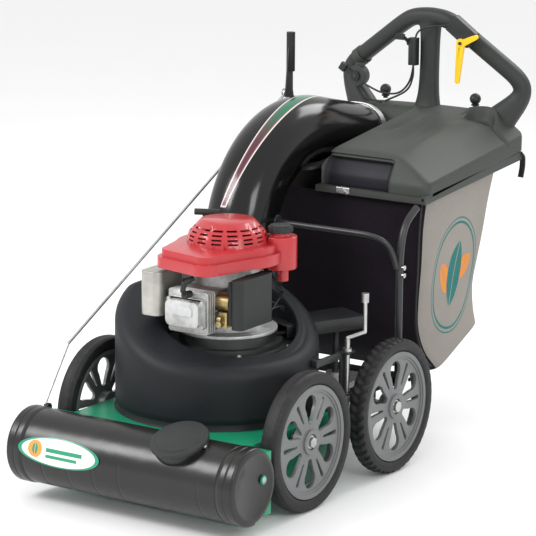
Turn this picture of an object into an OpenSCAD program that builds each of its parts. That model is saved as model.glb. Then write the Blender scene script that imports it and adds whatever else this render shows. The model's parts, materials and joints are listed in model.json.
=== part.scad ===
// Walk-behind leaf vacuum mulcher: +X is the machine's left side, -Y its nozzle end, +Z up.
// Places are written from the front wheel axis; placed() moves them into the row frame.

/* [Nozzle] */
// Cleaning width of the nozzle door
nozzle_w = 736; // [700:2:760]
// Outer radius of the nozzle door
nozzle_r = 102; // [98:1:104]
// Radius of the hose port's bore
port_r = 50; // [44:1:52]

/* [Wheels] */
// Radius of all four wheels
wheel_r = 190.5; // [186:0.5:192]
// Distance between the front and rear axles
wheelbase = 434; // [430:1:440]
// Width of a tyre
tyre_w = 50; // [44:1:52]

/* [Blower] */
// Outer radius of the blower housing
housing_r = 280; // [276:1:284]
// Radius of the impeller
impeller_r = 190; // [170:1:195]
// Number of impeller blades
blades = 6; // [3:1:8]

/* [Chute] */
// Width of the discharge chute
chute_w = 200; // [190:1:206]
// Outer radius of the chute's bend
bend_r = 410; // [400:1:415]

/* [Handle] */
// Height of the handle's arch at its centreline
arch_z = 1176; // [1140:1:1200]
// Radius of the handle's moulded tube
grip_r = 26; // [22:1:28]

/* [Hidden] */
$fn = 48;
front_axle_y = -418;    // front wheel axis in the row frame
axle_z = wheel_r;
run = 0.06;             // radial clearance of a running fit

// Deck
deck_top = 216;
deck_low = 45;
sheet_t = 4;
deck_half = 290;        // half width beside the wheels
wing_half = 356;        // half width in front of the wheels
wing_y = -198;
deck_front = -232;
deck_rear = 262;
inlet_r = 120;
pivot_y = -258;         // nozzle door's pivot
pivot_z = 154;
pin_r = 8;
nozzle_y = -296;
nozzle_z = 141;
door_t = 4;
arm_y = 150;            // front axle's swing pivot
arm_z = 165;
lift_y = 300;           // cross tube of the swinging front axle
lift_z = 140;

// Blower
engine_y = 115;
volute = [-18, 92];
wall = 6;
plate_z = 386;
rim_z = 432;
rim_round = 46;
well_r = 190;
outlet_low = 245;
chute_x = -180;
duct_x0 = -280;
duct_x1 = -80;
duct_y0 = 337;
duct_y1 = 537;

// Chute bend, in the YZ plane
bend_y = 747;
bend_z = 565;
bend_end = 77.2;        // direction in which the bend stops
duct_depth = 200;
chute_round = 90;
bend_lap = 0.8;         // overlap of the bend into the straights, degrees
exit_l = 269;
mouth_z = 790;

// Drive
belt_z = 408;
engine_pulley_r = 34;
box_pulley_r = 45;
box_x = 150;

// Lever and pull rod
rod_x = -345;
rod_r = 4;
clevis_y = -255;
clevis_z = 236;
port_x = 164;
port_tilt = 22;
lever_y = 950;
lever_z = 900;
foot_y = 925;
foot_z = 945;

// ---- shared shapes ----
module placed() translate([0, front_axle_y, 0]) children();
module along_x(x0, x1) translate([x0, 0, 0]) rotate([90, 0, 90]) linear_extrude(x1 - x0) children();
module along_y(y0, y1) translate([0, y1, 0]) rotate([90, 0, 0]) linear_extrude(y1 - y0) children();
module cyl_x(x0, x1, y, z, r) translate([x0, y, z]) rotate([0, 90, 0]) cylinder(h = x1 - x0, r = r);
module cyl_y(y0, y1, x, z, r) translate([x, y1, z]) rotate([90, 0, 0]) cylinder(h = y1 - y0, r = r);
module both_sides() for (side = [0, 1]) mirror([side, 0, 0]) children();
module rounded(w, h, r) {
    square([w - 2 * r, h], center = true);
    square([w, h - 2 * r], center = true);
    for (u = [-1, 1], v = [-1, 1]) translate([u * (w / 2 - r), v * (h / 2 - r)]) circle(r);
}
module bar(p, q, r) {
    run_v = q - p;
    run_l = norm(run_v);
    translate(p) rotate([0, acos(run_v[2] / run_l), atan2(run_v[1], run_v[0])])
        cylinder(h = run_l, r = r);
}
module pipe(points, r) {
    for (i = [0 : len(points) - 2]) bar(points[i], points[i + 1], r);
    for (i = [1 : 1 : len(points) - 2]) translate(points[i]) sphere(r * 1.04);
}
module block(x0, x1, y0, y1, z0, z1) translate([x0, y0, z0]) cube([x1 - x0, y1 - y0, z1 - z0]);
module soft_block(x0, x1, y0, y1, z0, z1, r)
    translate([(x0 + x1) / 2, (y0 + y1) / 2, z0]) linear_extrude(z1 - z0) rounded(x1 - x0, y1 - y0, r);

// ---- deck and nozzle ----
module deck_plan(inset) {
    front = deck_front + (inset > 0 ? -1 : 0);
    polygon([[-wing_half + inset, front], [wing_half - inset, front],
        [wing_half - inset, wing_y - inset], [deck_half - inset, wing_y - inset],
        [deck_half - inset, deck_rear - inset], [-deck_half + inset, deck_rear - inset],
        [-deck_half + inset, wing_y - inset], [-wing_half + inset, wing_y - inset]]);
}
module deck() {
    color("seagreen") {
        difference() {
            translate([0, 0, deck_low]) linear_extrude(deck_top - deck_low) deck_plan(0);
            translate([0, 0, deck_low + sheet_t])
                linear_extrude(deck_top - deck_low - 2 * sheet_t) deck_plan(sheet_t);
            translate([0, engine_y, deck_top - 2 * sheet_t]) cylinder(h = 20, r = inlet_r);
        }
        both_sides() {
            difference() {
                block(wing_half - sheet_t, wing_half, -275, deck_front + 1, deck_low + 10, deck_top);
                block(wing_half - 10, wing_half + 5, -300, -245, 190, 230);
            }
            cyl_x(wing_half - 1, nozzle_w / 2 + 1, pivot_y, pivot_z, pin_r);
            cyl_x(nozzle_w / 2 + 1, nozzle_w / 2 + 7, pivot_y, pivot_z, 12);
            cyl_x(deck_half - 1, 303.5, arm_y, arm_z, pin_r);
            cyl_x(303.5, 307, arm_y, arm_z, 12);
        }
    }
}
module nozzle_door() {
    half = nozzle_w / 2;
    color("dimgray") {
        difference() {
            cyl_x(-half, half, nozzle_y, nozzle_z, nozzle_r);
            cyl_x(-half + door_t, half - door_t, nozzle_y, nozzle_z, nozzle_r - door_t);
            along_x(-half + door_t, half - door_t)
                polygon([[-262, nozzle_z], [-262, 260], [-150, 260], [-150, 0], [-288, 0], [-288, nozzle_z]]);
            cyl_x(-half - 1, half + 1, pivot_y, pivot_z, pin_r + run);
            translate([port_x, nozzle_y, nozzle_z]) rotate([port_tilt, 0, 0]) cylinder(h = 200, r = port_r);
            block(-half - 1, half + 1, -212, -180, 0, 260);
        }
        port_neck();
        for (x = [-half + 40, half - 40]) band(x);
        clevis_lug();
    }
}
module band(x) difference() {
    cyl_x(x - 4, x + 4, nozzle_y, nozzle_z, nozzle_r + 1.5);
    cyl_x(x - 5, x + 5, nozzle_y, nozzle_z, nozzle_r - 1);
    along_x(x - 5, x + 5) polygon([[-262, 100], [-262, 260], [-150, 260], [-150, 0], [-288, 0], [-288, 100]]);
}
module port_neck() translate([port_x, nozzle_y, nozzle_z]) rotate([port_tilt, 0, 0]) difference() {
    union() {
        translate([0, 0, 84]) cylinder(h = 30, r = port_r + 4);
        translate([0, 0, 110]) cylinder(h = 4, r = port_r + 18);
    }
    translate([0, 0, 60]) cylinder(h = 80, r = port_r);
}
module clevis_lug() difference() {
    union() {
        block(rod_x + 7, rod_x + 11, clevis_y - 14, clevis_y + 10, 224, clevis_z);
        cyl_x(rod_x + 7, rod_x + 11, clevis_y, clevis_z, 10);
        block(rod_x - 1, rod_x + 11, clevis_y - 20, clevis_y - 8, 226, 236);
        cyl_x(rod_x - 9, rod_x + 8, clevis_y, clevis_z, 4);
    }
    cyl_x(-400, -300, nozzle_y, nozzle_z, nozzle_r - 2);
}
module port_cap() color("dimgray") translate([port_x, nozzle_y, nozzle_z]) rotate([port_tilt, 0, 0]) {
    translate([0, 0, 114.4]) cylinder(h = 5, r = port_r + 28);
    difference() {
        translate([0, 0, 102.6]) cylinder(h = 12.4, r = port_r + 23);
        translate([0, 0, 99]) cylinder(h = 15.4, r = port_r + 18.4);
    }
    translate([0, 0, 119]) cylinder(h = 4, r = port_r + 22);
    translate([port_r + 20, 0, 108.5]) rotate([0, 90, 0]) cylinder(h = 9, r = 5);
}

// ---- blower ----
module volute_shell(r, z0, z1, round_r) translate([volute[0], volute[1], 0]) rotate_extrude($fn = 96) {
    translate([0, z0]) square([r, z1 - z0 - round_r]);
    translate([0, z1 - round_r - 1]) square([r - round_r, round_r + 1]);
    intersection() {
        translate([r - round_r, z1 - round_r]) circle(round_r);
        translate([r - round_r, z1 - round_r]) square(round_r);
    }
}
module blower_housing() color("darkslategray") difference() {
    union() {
        volute_shell(housing_r, deck_top, rim_z, rim_round);
        soft_block(duct_x0, duct_x1, 150, duct_y1, outlet_low, rim_z - 2, 20);
    }
    difference() {
        volute_shell(housing_r - wall, deck_top + wall, rim_z - wall, rim_round - wall);
        translate([0, engine_y, plate_z - 14]) cylinder(h = 100, r = well_r + wall);
    }
    difference() {
        soft_block(duct_x0 + wall, duct_x1 - wall, 140, duct_y1 - wall, outlet_low + wall, rim_z - wall, 16);
        translate([0, engine_y, plate_z - 14]) cylinder(h = 100, r = well_r + wall);
    }
    translate([0, engine_y, deck_top + wall]) cylinder(h = plate_z - 8 - deck_top - wall, r = well_r - 4);
    translate([0, engine_y, plate_z]) cylinder(h = 100, r = well_r);
    translate([0, engine_y, deck_top - 5]) cylinder(h = 60, r = inlet_r);
    translate([0, engine_y, plate_z - 20]) cylinder(h = 60, r = well_r - 25);
    translate([chute_x, (duct_y0 + duct_y1) / 2, rim_z - 20]) linear_extrude(25) chute_section(-wall);
    translate([0, engine_y, 0]) rotate([0, 0, atan2(wheelbase - engine_y, box_x)])
        block(150, 320, -62, 62, plate_z + 5, plate_z + 60);
}
module housing_top_plate() color([0.1, 0.1, 0.11]) translate([0, engine_y, 0]) difference() {
    union() {
        translate([0, 0, plate_z]) cylinder(h = 4, r = well_r - 3);
        translate([0, 0, plate_z + 4]) cylinder(h = 12, r = 152);
        translate([0, 0, plate_z + 16]) cylinder(h = 28, r = 132);
    }
    translate([0, 0, plate_z + 4]) cylinder(h = 30, r = 112);
    translate([0, 0, plate_z - 1]) cylinder(h = 50, r = 20);
    rotate([0, 0, atan2(wheelbase - engine_y, box_x)]) block(80, 160, -58, 58, plate_z + 16.5, plate_z + 38);
}
module housing_screws() color("silver") translate([0, engine_y, plate_z + 4])
    for (a = [15 : 60 : 315]) rotate([0, 0, a]) translate([well_r - 14, 0, 0]) {
        cylinder(h = 4, r = 7);
        cylinder(h = 8, r = 5, $fn = 6);
    }
module chute_section(grow)
    rounded(chute_w + 2 * grow, duct_depth + 2 * grow, chute_round + grow);
module chute_wall(inset) difference() {
    chute_section(-inset);
    chute_section(inset - 5);
}
module discharge_chute() color([0.08, 0.08, 0.09]) difference() {
    union() {
        translate([chute_x, (duct_y0 + duct_y1) / 2, rim_z]) linear_extrude(bend_z - rim_z) chute_wall(0);
        translate([0, bend_y, bend_z]) rotate([0, 90, 0]) rotate([0, 0, bend_end + 90 - bend_lap])
            rotate_extrude(angle = 180 - bend_end + 2 * bend_lap, $fn = 96)
                translate([bend_r - duct_depth / 2, chute_x]) rotate(90) chute_wall(0.5);
        translate([chute_x, bend_y, bend_z]) rotate([bend_end - 90, 0, 0])
            translate([0, 0, bend_r - duct_depth / 2]) rotate([-90, 0, 0])
                linear_extrude(exit_l) chute_wall(0);
        translate([chute_x, (duct_y0 + duct_y1) / 2, rim_z]) linear_extrude(6) difference() {
            chute_section(4);
            chute_section(-2);
        }
    }
    block(-400, 0, 640, 1200, 500, mouth_z);
}
module chute_strap() color("gray") {
    translate([chute_x, bend_y, bend_z]) rotate([bend_end - 90, 0, 0])
        translate([0, exit_l - 34, bend_r - duct_depth / 2]) rotate([-90, 0, 0]) difference() {
            linear_extrude(26) chute_section(2.5);
            translate([0, 0, -1]) linear_extrude(28) chute_section(-0.2);
            translate([-200, -20, -1]) cube([400, 200, 40]);
        }
    along_x(rod_x + 8, rod_x + 12) difference() {
        union() {
            translate([lever_y, lever_z]) circle(16);
            polygon([[lever_y - 16, lever_z], [lever_y + 10, lever_z + 14], [1060, 880], [1060, 850],
                [lever_y, lever_z - 16]]);
        }
        translate([lever_y, lever_z]) circle(4);
    }
    block(rod_x + 8, chute_x - 86, 1044, 1058, 858, 872);
    cyl_x(rod_x - 7, rod_x + 9, lever_y, lever_z, 6);
    cyl_x(rod_x - 11, rod_x - 7, lever_y, lever_z, 10);
}

// ---- frame ----
module rear_frame() color([0.13, 0.13, 0.14]) {
    both_sides() {
        block(244, 272, 200, 592, deck_top, deck_top + 26);
        block(271, 285, 515, 592, deck_top, deck_top + 26);
        difference() {
            block(262, 268, wheelbase - 30, wheelbase + 30, 160, deck_top + 1);
            cyl_x(250, 290, wheelbase, axle_z, 16);
        }
    }
    block(-245, 245, 560, 590, deck_top, deck_top + 26);
    crank_bracket();
}
crank_x = 286;
crank_y = 281;
module crank_bracket() difference() {
    union() {
        block(271, 277, 262, 300, deck_top + 20, 372);
        block(271, 300, 262, 300, 366, 372);
        block(271, 300, 262, 300, 250, 256);
        block(271, 277, 150, 263, 352, 372);
        block(252, 277, 140, 162, 352, 372);
    }
    translate([crank_x, crank_y, 200]) cylinder(h = 200, r = 7 + run);
}
module frame_hoop() color([0.16, 0.17, 0.17]) {
    pipe([[-84, 485, 655], [232, 485, 655], [262, 492, 648], [284, 505, 627], [292, 522, 590]], 9);
    cyl_x(-86, -80, 485, 655, 20);
}
module frame_uprights() color([0.16, 0.17, 0.17]) {
    pipe([[296, 535, deck_top + 4], [296, 535, 600], [296, 556, 680], [296, 622, 718]], 11);
    pipe([[-296, 575, deck_top + 4], [-296, 575, 600], [-296, 584, 660], [-296, 628, 716]], 11);
}
module frame_bolts() color("silver") {
    for (z = [540, 562]) cyl_x(306, 313, 535, z, 7);
    for (y = [545, 580]) both_sides() cyl_x(306, 309, y, deck_top + 13, 6);
}
module bag_rails() color([0.33, 0.35, 0.34]) {
    both_sides() difference() {
        along_x(299, 313) polygon([[640, 723], [1205, 771], [1205, 795], [640, 747]]);
        along_x(298, 308) polygon([[600, 729], [1230, 781], [1230, 789], [600, 737]]);
    }
    block(-55, 300, 640, 664, 724, 742);
    block(-300, -285, 640, 664, 724, 742);
}
module cover_corners(r, drop) hull() for (side = [-1, 1]) {
    translate([side * 288, 677, 762 - drop]) sphere(r, $fn = 32);
    translate([side * 288, 1192, 820 - drop]) sphere(r, $fn = 32);
    translate([side * 190, 722, 820]) sphere(r, $fn = 32);
    translate([side * 226, 1178, 888]) sphere(r, $fn = 32);
}
module cover() color([0.33, 0.35, 0.33]) {
    difference() {
        cover_corners(25, 0);
        cover_corners(20, 90);
        block(-340, -55, 600, 1108, 600, 1000);
        along_x(-40, 190) polygon([[620, 770], [668, 770], [690, 828], [620, 828]]);
        translate([215, 1115, 872]) cylinder(h = 60, r = 38);
    }
    translate([215, 1115, 868]) difference() {
        cylinder(h = 26, r = 41);
        translate([0, 0, 4]) cylinder(h = 40, r = 37);
    }
}
module handle() color([0.25, 0.27, 0.26]) {
    both_sides() pipe([[0, 1186, arch_z], [52, 1186, arch_z - 4], [84, 1187, arch_z - 22], [285, 1214, 1012],
        [300, 1220, 984], [296, 1224, 958], [262, 1208, 896]], grip_r);
    translate([0, 1186, arch_z]) sphere(grip_r * 1.04);
    bar([0, 1180, 900], [0, 1186, arch_z - 10], 32);
}

// ---- controls ----
module control_box() color([0.1, 0.1, 0.1]) {
    translate([124, 1150, 1143]) rotate([0, 35, 0]) {
        along_y(0, 24) rounded(96, 54, 8);
        along_y(24, 34) rounded(70, 36, 8);
    }
    cyl_y(1136, 1152, 129, 1110, 5);
    soft_block(-52, -24, 1140, 1166, 1030, 1112, 6);
    cyl_x(-58, -52, 1153, 1098, 5);
}
module drive_lever() color("gold") along_y(1140, 1148) difference() {
    union() {
        translate([129, 1110]) circle(14);
        polygon([[120, 1116], [176, 1138], [184, 1126], [138, 1100]]);
        translate([180, 1132]) circle(7);
        polygon([[116, 1112], [142, 1106], [127, 994], [113, 996]]);
        translate([120, 995]) circle(7);
    }
    translate([129, 1110]) circle(5 + run);
}
module choke_lever() color([0.12, 0.12, 0.12]) difference() {
    union() {
        cyl_x(-57.5, -53, 1153, 1098, 11);
        translate([-57.5, 1153, 1098]) rotate([60, 0, 0]) translate([0, -5, 0]) cube([4.5, 10, 40]);
        translate([-82, 1153, 1098]) rotate([60, 0, 0]) translate([0, -9, 34]) cube([29, 18, 6]);
    }
    cyl_x(-90, -50, 1153, 1098, 5 + run);
}
module throttle_clamp() color("gray") {
    difference() {
        bar([-268, 1211.7, 1024], [-246, 1208.7, 1040], grip_r + 4);
        bar([-285, 1214, 1012], [-84, 1187, arch_z - 22], grip_r + 0.3);
    }
    cyl_y(1156, 1186, -244, 978, 32);
    block(-258, -232, 1172, 1186, 978, 1016);
    cyl_y(1148, 1156, -244, 978, 6);
}
module throttle_lever() color([0.1, 0.1, 0.1]) difference() {
    union() {
        cyl_y(1149.5, 1155.5, -244, 978, 15);
        translate([-244, 1149.5, 978]) rotate([0, -58, 0]) translate([-6, 0, 0]) cube([12, 6, 44]);
        translate([-244, 1142, 978]) rotate([0, -58, 0]) translate([-12, 0, 38]) cube([24, 13, 20]);
    }
    cyl_y(1140, 1160, -244, 978, 6 + run);
}
drive_cable = [[88, 1152, 1160], [30, 1142, 1152], [-8, 1140, 1140], [-22, 1134, 1112], [-24, 1130, 1040],
    [-40, 1132, 980], [-84, 1142, 942], [-150, 1154, 936], [-214, 1166, 952]];
choke_cable = [[-38, 1152, 1031], [-40, 1152, 990], [-58, 1144, 950], [-112, 1112, 918]];
throttle_cable = [[-238, 1166, 948], [-214, 1160, 920], [-180, 1140, 914], [-130, 1120, 912]];
engine_cable = [[110, 160, 575], [96, 232, 555], [40, 320, 520], [-40, 400, 530], [-62, 470, 570],
    [-64, 545, 640]];
stop_cable = [[100, 206, 540], [84, 260, 520], [30, 340, 502], [-48, 420, 516], [-68, 486, 576],
    [-71, 545, 634]];
module cable(points) for (i = [0 : len(points) - 2]) {
    along = (points[i + 1] - points[i]) / norm(points[i + 1] - points[i]);
    bar(points[i] - (i > 0 ? along * 1.6 : [0, 0, 0]), points[i + 1] + along * 1.6, 3 - (i % 2) * 0.2);
}
module control_cables() color([0.08, 0.08, 0.08])
    for (route = [drive_cable, choke_cable, throttle_cable, engine_cable, stop_cable]) cable(route);
module ball_knob(x) color([0.08, 0.08, 0.08]) translate([x, 1190, 0]) {
    translate([0, 0, 914]) cylinder(h = 20, r = 7);
    translate([0, 0, 920]) cylinder(h = 4, r = 12);
    translate([0, 0, 940]) sphere(17);
}
module knob_left() ball_knob(157);
module knob_right() ball_knob(-157);

// ---- engine ----
cylinder_z = 512;
head_y = -28;
module engine_block() color("lightgray") translate([0, engine_y, 0]) difference() {
    union() {
        translate([0, 0, 430]) cylinder(h = 9, r = 138);
        translate([0, 0, 439]) cylinder(h = 171, r = 98);
        block(-56, 56, head_y - engine_y, 0, cylinder_z - 54, cylinder_z + 54);
        for (z = [cylinder_z - 52 : 13 : cylinder_z + 50]) block(-64, 64, head_y - engine_y, -70, z, z + 5);
    }
    translate([0, 0, 400]) cylinder(h = 250, r = 12.5 + run);
    translate([0, 0, 425]) cylinder(h = 140, r = 40);
    translate([0, 0, 455]) cylinder(h = 140, r = 78);
    translate([0, -250, cylinder_z]) rotate([-90, 0, 0]) cylinder(h = 170, r = 32);
}
module cylinder_head() color("silver") {
    along_y(-72, head_y) translate([0, cylinder_z]) rounded(112, 108, 12);
    for (y = [-70 : 10 : -34]) along_y(y, y + 4) translate([0, cylinder_z]) rounded(130, 118, 8);
}
module valve_cover() color("gainsboro") {
    along_y(-80, -72.2) translate([0, cylinder_z]) rounded(122, 84, 12);
    along_y(-101, -80) translate([0, cylinder_z]) rounded(108, 70, 16);
    along_y(-105, -101) translate([0, cylinder_z + 8]) rounded(70, 24, 6);
    for (x = [-54, 54], z = [-33, 33]) cyl_y(-86, -80, x, cylinder_z + z, 6);
}
module muffler() color("beige") {
    soft_block(-146, -78, -98, 30, 492, 612, 24);
    soft_block(-78.5, -65.5, -64, -30, 500, 540, 5);
}
module air_cleaner() color([0.22, 0.24, 0.24]) {
    soft_block(118, 156, -46, 110, 474, 608, 14);
    soft_block(106, 118.5, -38, 100, 482, 600, 5);
}
module carburettor() color("darkgoldenrod") {
    cyl_x(65.5, 106, -14, 540, 24);
    soft_block(74, 104, -40, 12, 474, 516, 6);
    cyl_x(84, 96, -50, 500, 8);
    cyl_y(-56, -40, 88, 486, 9);
}
module shroud_plan(grow) {
    translate([0, engine_y]) circle(152 + grow, $fn = 96);
    translate([-70, -46]) circle(40 + grow);
    translate([56, -66]) circle(46 + grow);
    polygon([[-151 - grow, engine_y], [-110 - grow, -46], [-70, -86 - grow], [56, -112 - grow],
        [102 + grow, -66], [151 + grow, engine_y]]);
}
module shroud() color("indianred") difference() {
    union() {
        translate([0, 0, 624]) linear_extrude(30) shroud_plan(0);
        translate([0, 0, 654]) linear_extrude(20) shroud_plan(-12);
    }
    translate([0, 0, 610]) linear_extrude(38) shroud_plan(-4);
    translate([0, 0, 640]) linear_extrude(30) shroud_plan(-16);
    translate([0, engine_y, 650]) cylinder(h = 50, r = 100);
    translate([118, 198, 560]) cylinder(h = 200, r = 47);
}
module dome(r, z0, z1, top_r) translate([0, engine_y, 0]) rotate_extrude() {
    square_h = (z1 - z0) * 0.45;
    translate([0, z0]) polygon([[0, 0], [r, 0], [r - 6, square_h], [top_r, z1 - z0], [0, z1 - z0]]);
}
grip_place = [-103, 167, 0];
module recoil_cover() color("indianred") {
    difference() {
        dome(112, 674, 736, 74);
        dome(108, 670, 732, 71);
        for (a = [0 : 24 : 336]) translate([0, engine_y, 0]) rotate([0, 0, a])
            for (row = [0 : 3]) block(80, 130, -14, 14, 683 + row * 11, 688 + row * 11);
    }
    translate(grip_place) translate([0, 0, 674]) cylinder(h = 35, r = 7);
}
module fuel_tank() color("indianred") {
    difference() {
        translate([118, 198, 600]) cylinder(h = 90, r = 46);
        translate([118, 198, 604]) cylinder(h = 80, r = 42);
        translate([118, 198, 670]) cylinder(h = 30, r = 22);
        translate([0, engine_y, 560]) cylinder(h = 200, r = 112.3);
    }
    difference() {
        translate([118, 198, 684]) cylinder(h = 16, r = 26);
        translate([118, 198, 680]) cylinder(h = 30, r = 22);
    }
    translate([128, 196, 565]) cylinder(h = 37, r = 16);
}
module fuel_cap() color([0.25, 0.3, 0.29]) translate([118, 198, 0]) {
    translate([0, 0, 700.4]) cylinder(h = 16, r = 33);
    translate([0, 0, 716]) cylinder(h = 4, r = 28);
    translate([0, 0, 688]) cylinder(h = 13, r = 21.9);
    for (a = [0 : 30 : 330]) rotate([0, 0, a]) translate([32, 0, 702]) cylinder(h = 13, r = 3);
}
module starter_grip() color([0.1, 0.11, 0.11]) translate(grip_place) rotate([0, 0, 24]) {
    soft_block(-14, 14, -5.5, 5.5, 709.03, 734, 5);
    translate([0, 0, 734]) rotate([0, 90, 0]) translate([0, 0, -36]) cylinder(h = 72, r = 9);
}
module spark_plug() color([0.12, 0.12, 0.13]) {
    cyl_y(-108, -81, 14, 566, 10);
    pipe([[14, -98, 566], [12, -112, 580], [14, -108, 598], [28, -84, 612]], 7);
}
module crankshaft() color("silver") translate([0, engine_y, 0]) {
    translate([0, 0, 250]) cylinder(h = 418, r = 12.5);
    for (z = [490, 522]) translate([0, 0, z]) cylinder(h = 14, r = 30);
}
module flywheel() color("gray") translate([0, engine_y, 0]) difference() {
    union() {
        translate([0, 0, 630]) cylinder(h = 12, r = 90);
        translate([0, 0, 642]) cylinder(h = 18, r = 30);
        for (a = [0 : 30 : 330]) rotate([0, 0, a]) block(48, 88, -1.5, 1.5, 641, 662);
    }
    translate([0, 0, 600]) cylinder(h = 80, r = 12.5);
}
module impeller() color("slategray") translate([0, engine_y, 0]) difference() {
    union() {
        translate([0, 0, 352]) cylinder(h = 6, r = impeller_r - 6);
        translate([0, 0, 290]) cylinder(h = 64, r = 34);
        for (i = [0 : blades - 1]) rotate([0, 0, i * 360 / blades])
            block(28, impeller_r - 8, -3, 3, 240, 353);
        for (i = [0 : 2 : 2 * blades - 1]) rotate([0, 0, (i + 1) * 180 / blades])
            block(90, impeller_r - 8, -2, 2, 290, 353);
    }
    translate([0, 0, 230]) cylinder(h = 140, r = 12.5);
}
module pulley(r, h) difference() {
    rotate_extrude() polygon([[0, -h / 2], [r + 6, -h / 2], [r + 6, -h / 2 + 2], [r, -4], [r, 4],
        [r + 6, h / 2 - 2], [r + 6, h / 2], [0, h / 2]]);
    children();
}
module engine_pulley() color("gray") translate([0, engine_y, belt_z])
    pulley(engine_pulley_r, 18) cylinder(h = 60, r = 12.5, center = true);

// ---- drive ----
span = norm([box_x, wheelbase - engine_y]);
module belt_loop(grow) hull() {
    circle(engine_pulley_r + grow);
    translate([span, 0]) circle(box_pulley_r + grow);
}
module drive_belt() color([0.05, 0.05, 0.05]) translate([0, engine_y, belt_z - 3.5])
    rotate([0, 0, atan2(wheelbase - engine_y, box_x)]) linear_extrude(7) difference() {
        belt_loop(9);
        belt_loop(0.6);
    }
module belt_guard() color([0.2, 0.22, 0.23]) translate([0, engine_y, 0])
    rotate([0, 0, atan2(wheelbase - engine_y, box_x)]) difference() {
        block(156, span + 62, -60, 60, belt_z - 16, belt_z + 20);
        block(150, span + 58, -56, 56, belt_z - 20, belt_z + 16);
    }
module gearbox() color("lightgray") difference() {
    union() {
        soft_block(box_x - 50, box_x + 50, wheelbase - 46, wheelbase + 46, 148, 236, 18);
        translate([box_x, wheelbase, 235]) cylinder(h = 26, r = 26);
        block(box_x - 34, box_x + 34, wheelbase + 40, 561, 224, 232);
    }
    cyl_x(box_x - 60, box_x + 60, wheelbase, axle_z, 10 + run);
    translate([box_x, wheelbase, 216]) cylinder(h = 60, r = 9 + run);
}
module gearbox_pulley() color("gray") translate([box_x, wheelbase, 0]) {
    translate([0, 0, 222]) cylinder(h = belt_z - 230, r = 9);
    translate([0, 0, belt_z]) pulley(box_pulley_r, 18) cylinder(h = 1, r = 1);
}
module rear_axle() color("silver") {
    cyl_x(-352, 352, wheelbase, axle_z, 10);
    both_sides() cyl_x(349.3, 352, wheelbase, axle_z, 18);
    both_sides() cyl_x(352, 361, wheelbase, axle_z, 15);
    both_sides() cyl_x(271, 277, wheelbase, axle_z, 15);
}
module axle_bearings() color("dimgray") both_sides() difference() {
    cyl_x(259, 271, wheelbase, axle_z, 16);
    cyl_x(250, 280, wheelbase, axle_z, 10 + run);
}

// ---- wheels ----
tyre_x = 311;
module wheel_at(side, y) translate([0, y, axle_z]) rotate([0, side * 90, 0]) children();
module tyre_ring(ribs) difference() {
    rotate_extrude($fn = 96) {
        translate([155, tyre_x]) square([wheel_r - 12 - 155, tyre_w]);
        translate([155, tyre_x + 8]) square([wheel_r - 155, tyre_w - 16]);
        for (z = [8, tyre_w - 8]) translate([wheel_r - 12, tyre_x + z]) scale([1.5, 1]) circle(8);
    }
    for (i = [0 : 1 : ribs - 1]) translate([0, 0, tyre_x + 12 + i * (tyre_w - 24) / max(ribs - 1, 1)])
        difference() {
            cylinder(h = 2, r = wheel_r + 5, center = true);
            cylinder(h = 3, r = wheel_r - 2, center = true);
        }
}
module ray(r0, w0, r1, w1) {
    translate([r0, 0]) circle(w0);
    translate([r1, 0]) circle(w1);
    polygon([[r0, -w0], [r1, -w1], [r1, w1], [r0, w0]]);
}
module rim_wheel(bore_r) difference() {
    union() {
        rotate_extrude($fn = 96) {
            translate([142, tyre_x + 6]) square([12.8, tyre_w - 10]);
            translate([136, tyre_x + 34]) square([8, 8]);
        }
        translate([0, 0, tyre_x + 28]) linear_extrude(10) difference() {
            circle(143, $fn = 96);
            for (i = [0 : 5]) rotate(i * 60) ray(58, 10, 103, 26);
            for (i = [0 : 5]) rotate(i * 60 + 30) ray(66, 3, 122, 6);
        }
        translate([0, 0, tyre_x + 2]) cylinder(h = tyre_w - 8, r = 34);
    }
    translate([0, 0, tyre_x - 5]) cylinder(h = tyre_w + 10, r = bore_r + run);
    translate([0, 0, tyre_x + tyre_w - 12]) cylinder(h = 20, r = 22);
}
module tyre_front_left() color([0.15, 0.15, 0.15]) wheel_at(1, 0) tyre_ring(3);
module tyre_front_right() color([0.15, 0.15, 0.15]) wheel_at(-1, 0) tyre_ring(3);
module tyre_rear_left() color([0.15, 0.15, 0.15]) wheel_at(1, wheelbase) tyre_ring(0);
module tyre_rear_right() color([0.15, 0.15, 0.15]) wheel_at(-1, wheelbase) tyre_ring(0);
module rim_front_left() color("darkgray") wheel_at(1, 0) rim_wheel(10);
module rim_front_right() color("darkgray") wheel_at(-1, 0) rim_wheel(10);
module rim_rear_left() color("darkgray") wheel_at(1, wheelbase) rim_wheel(10);
module rim_rear_right() color("darkgray") wheel_at(-1, wheelbase) rim_wheel(10);
module front_axle() color([0.14, 0.14, 0.15]) {
    both_sides() {
        difference() {
            along_x(296.5, 302.5) {
                for (p = [[0, axle_z], [arm_y, arm_z], [lift_y, lift_z]]) translate(p) circle(20);
                polygon([[0, axle_z - 18], [lift_y, lift_z - 18], [lift_y, lift_z + 18], [0, axle_z + 18]]);
            }
            cyl_x(290, 310, arm_y, arm_z, pin_r + run);
        }
        cyl_x(296.5, 349.3, 0, axle_z, 10);
    }
    cyl_x(-297, 297, lift_y, lift_z, 12);
    difference() {
        block(270, 300, lift_y - 36, lift_y, lift_z - 6, lift_z + 6);
        translate([crank_x, crank_y, lift_z - 20]) cylinder(h = 40, r = 11.5);
    }
}
module front_wheel_nuts() color("silver") both_sides() {
    cyl_x(349.3, 352, 0, axle_z, 18);
    translate([352, 0, axle_z]) rotate([0, 90, 0]) cylinder(h = 9, r = 15, $fn = 6);
}
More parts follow.
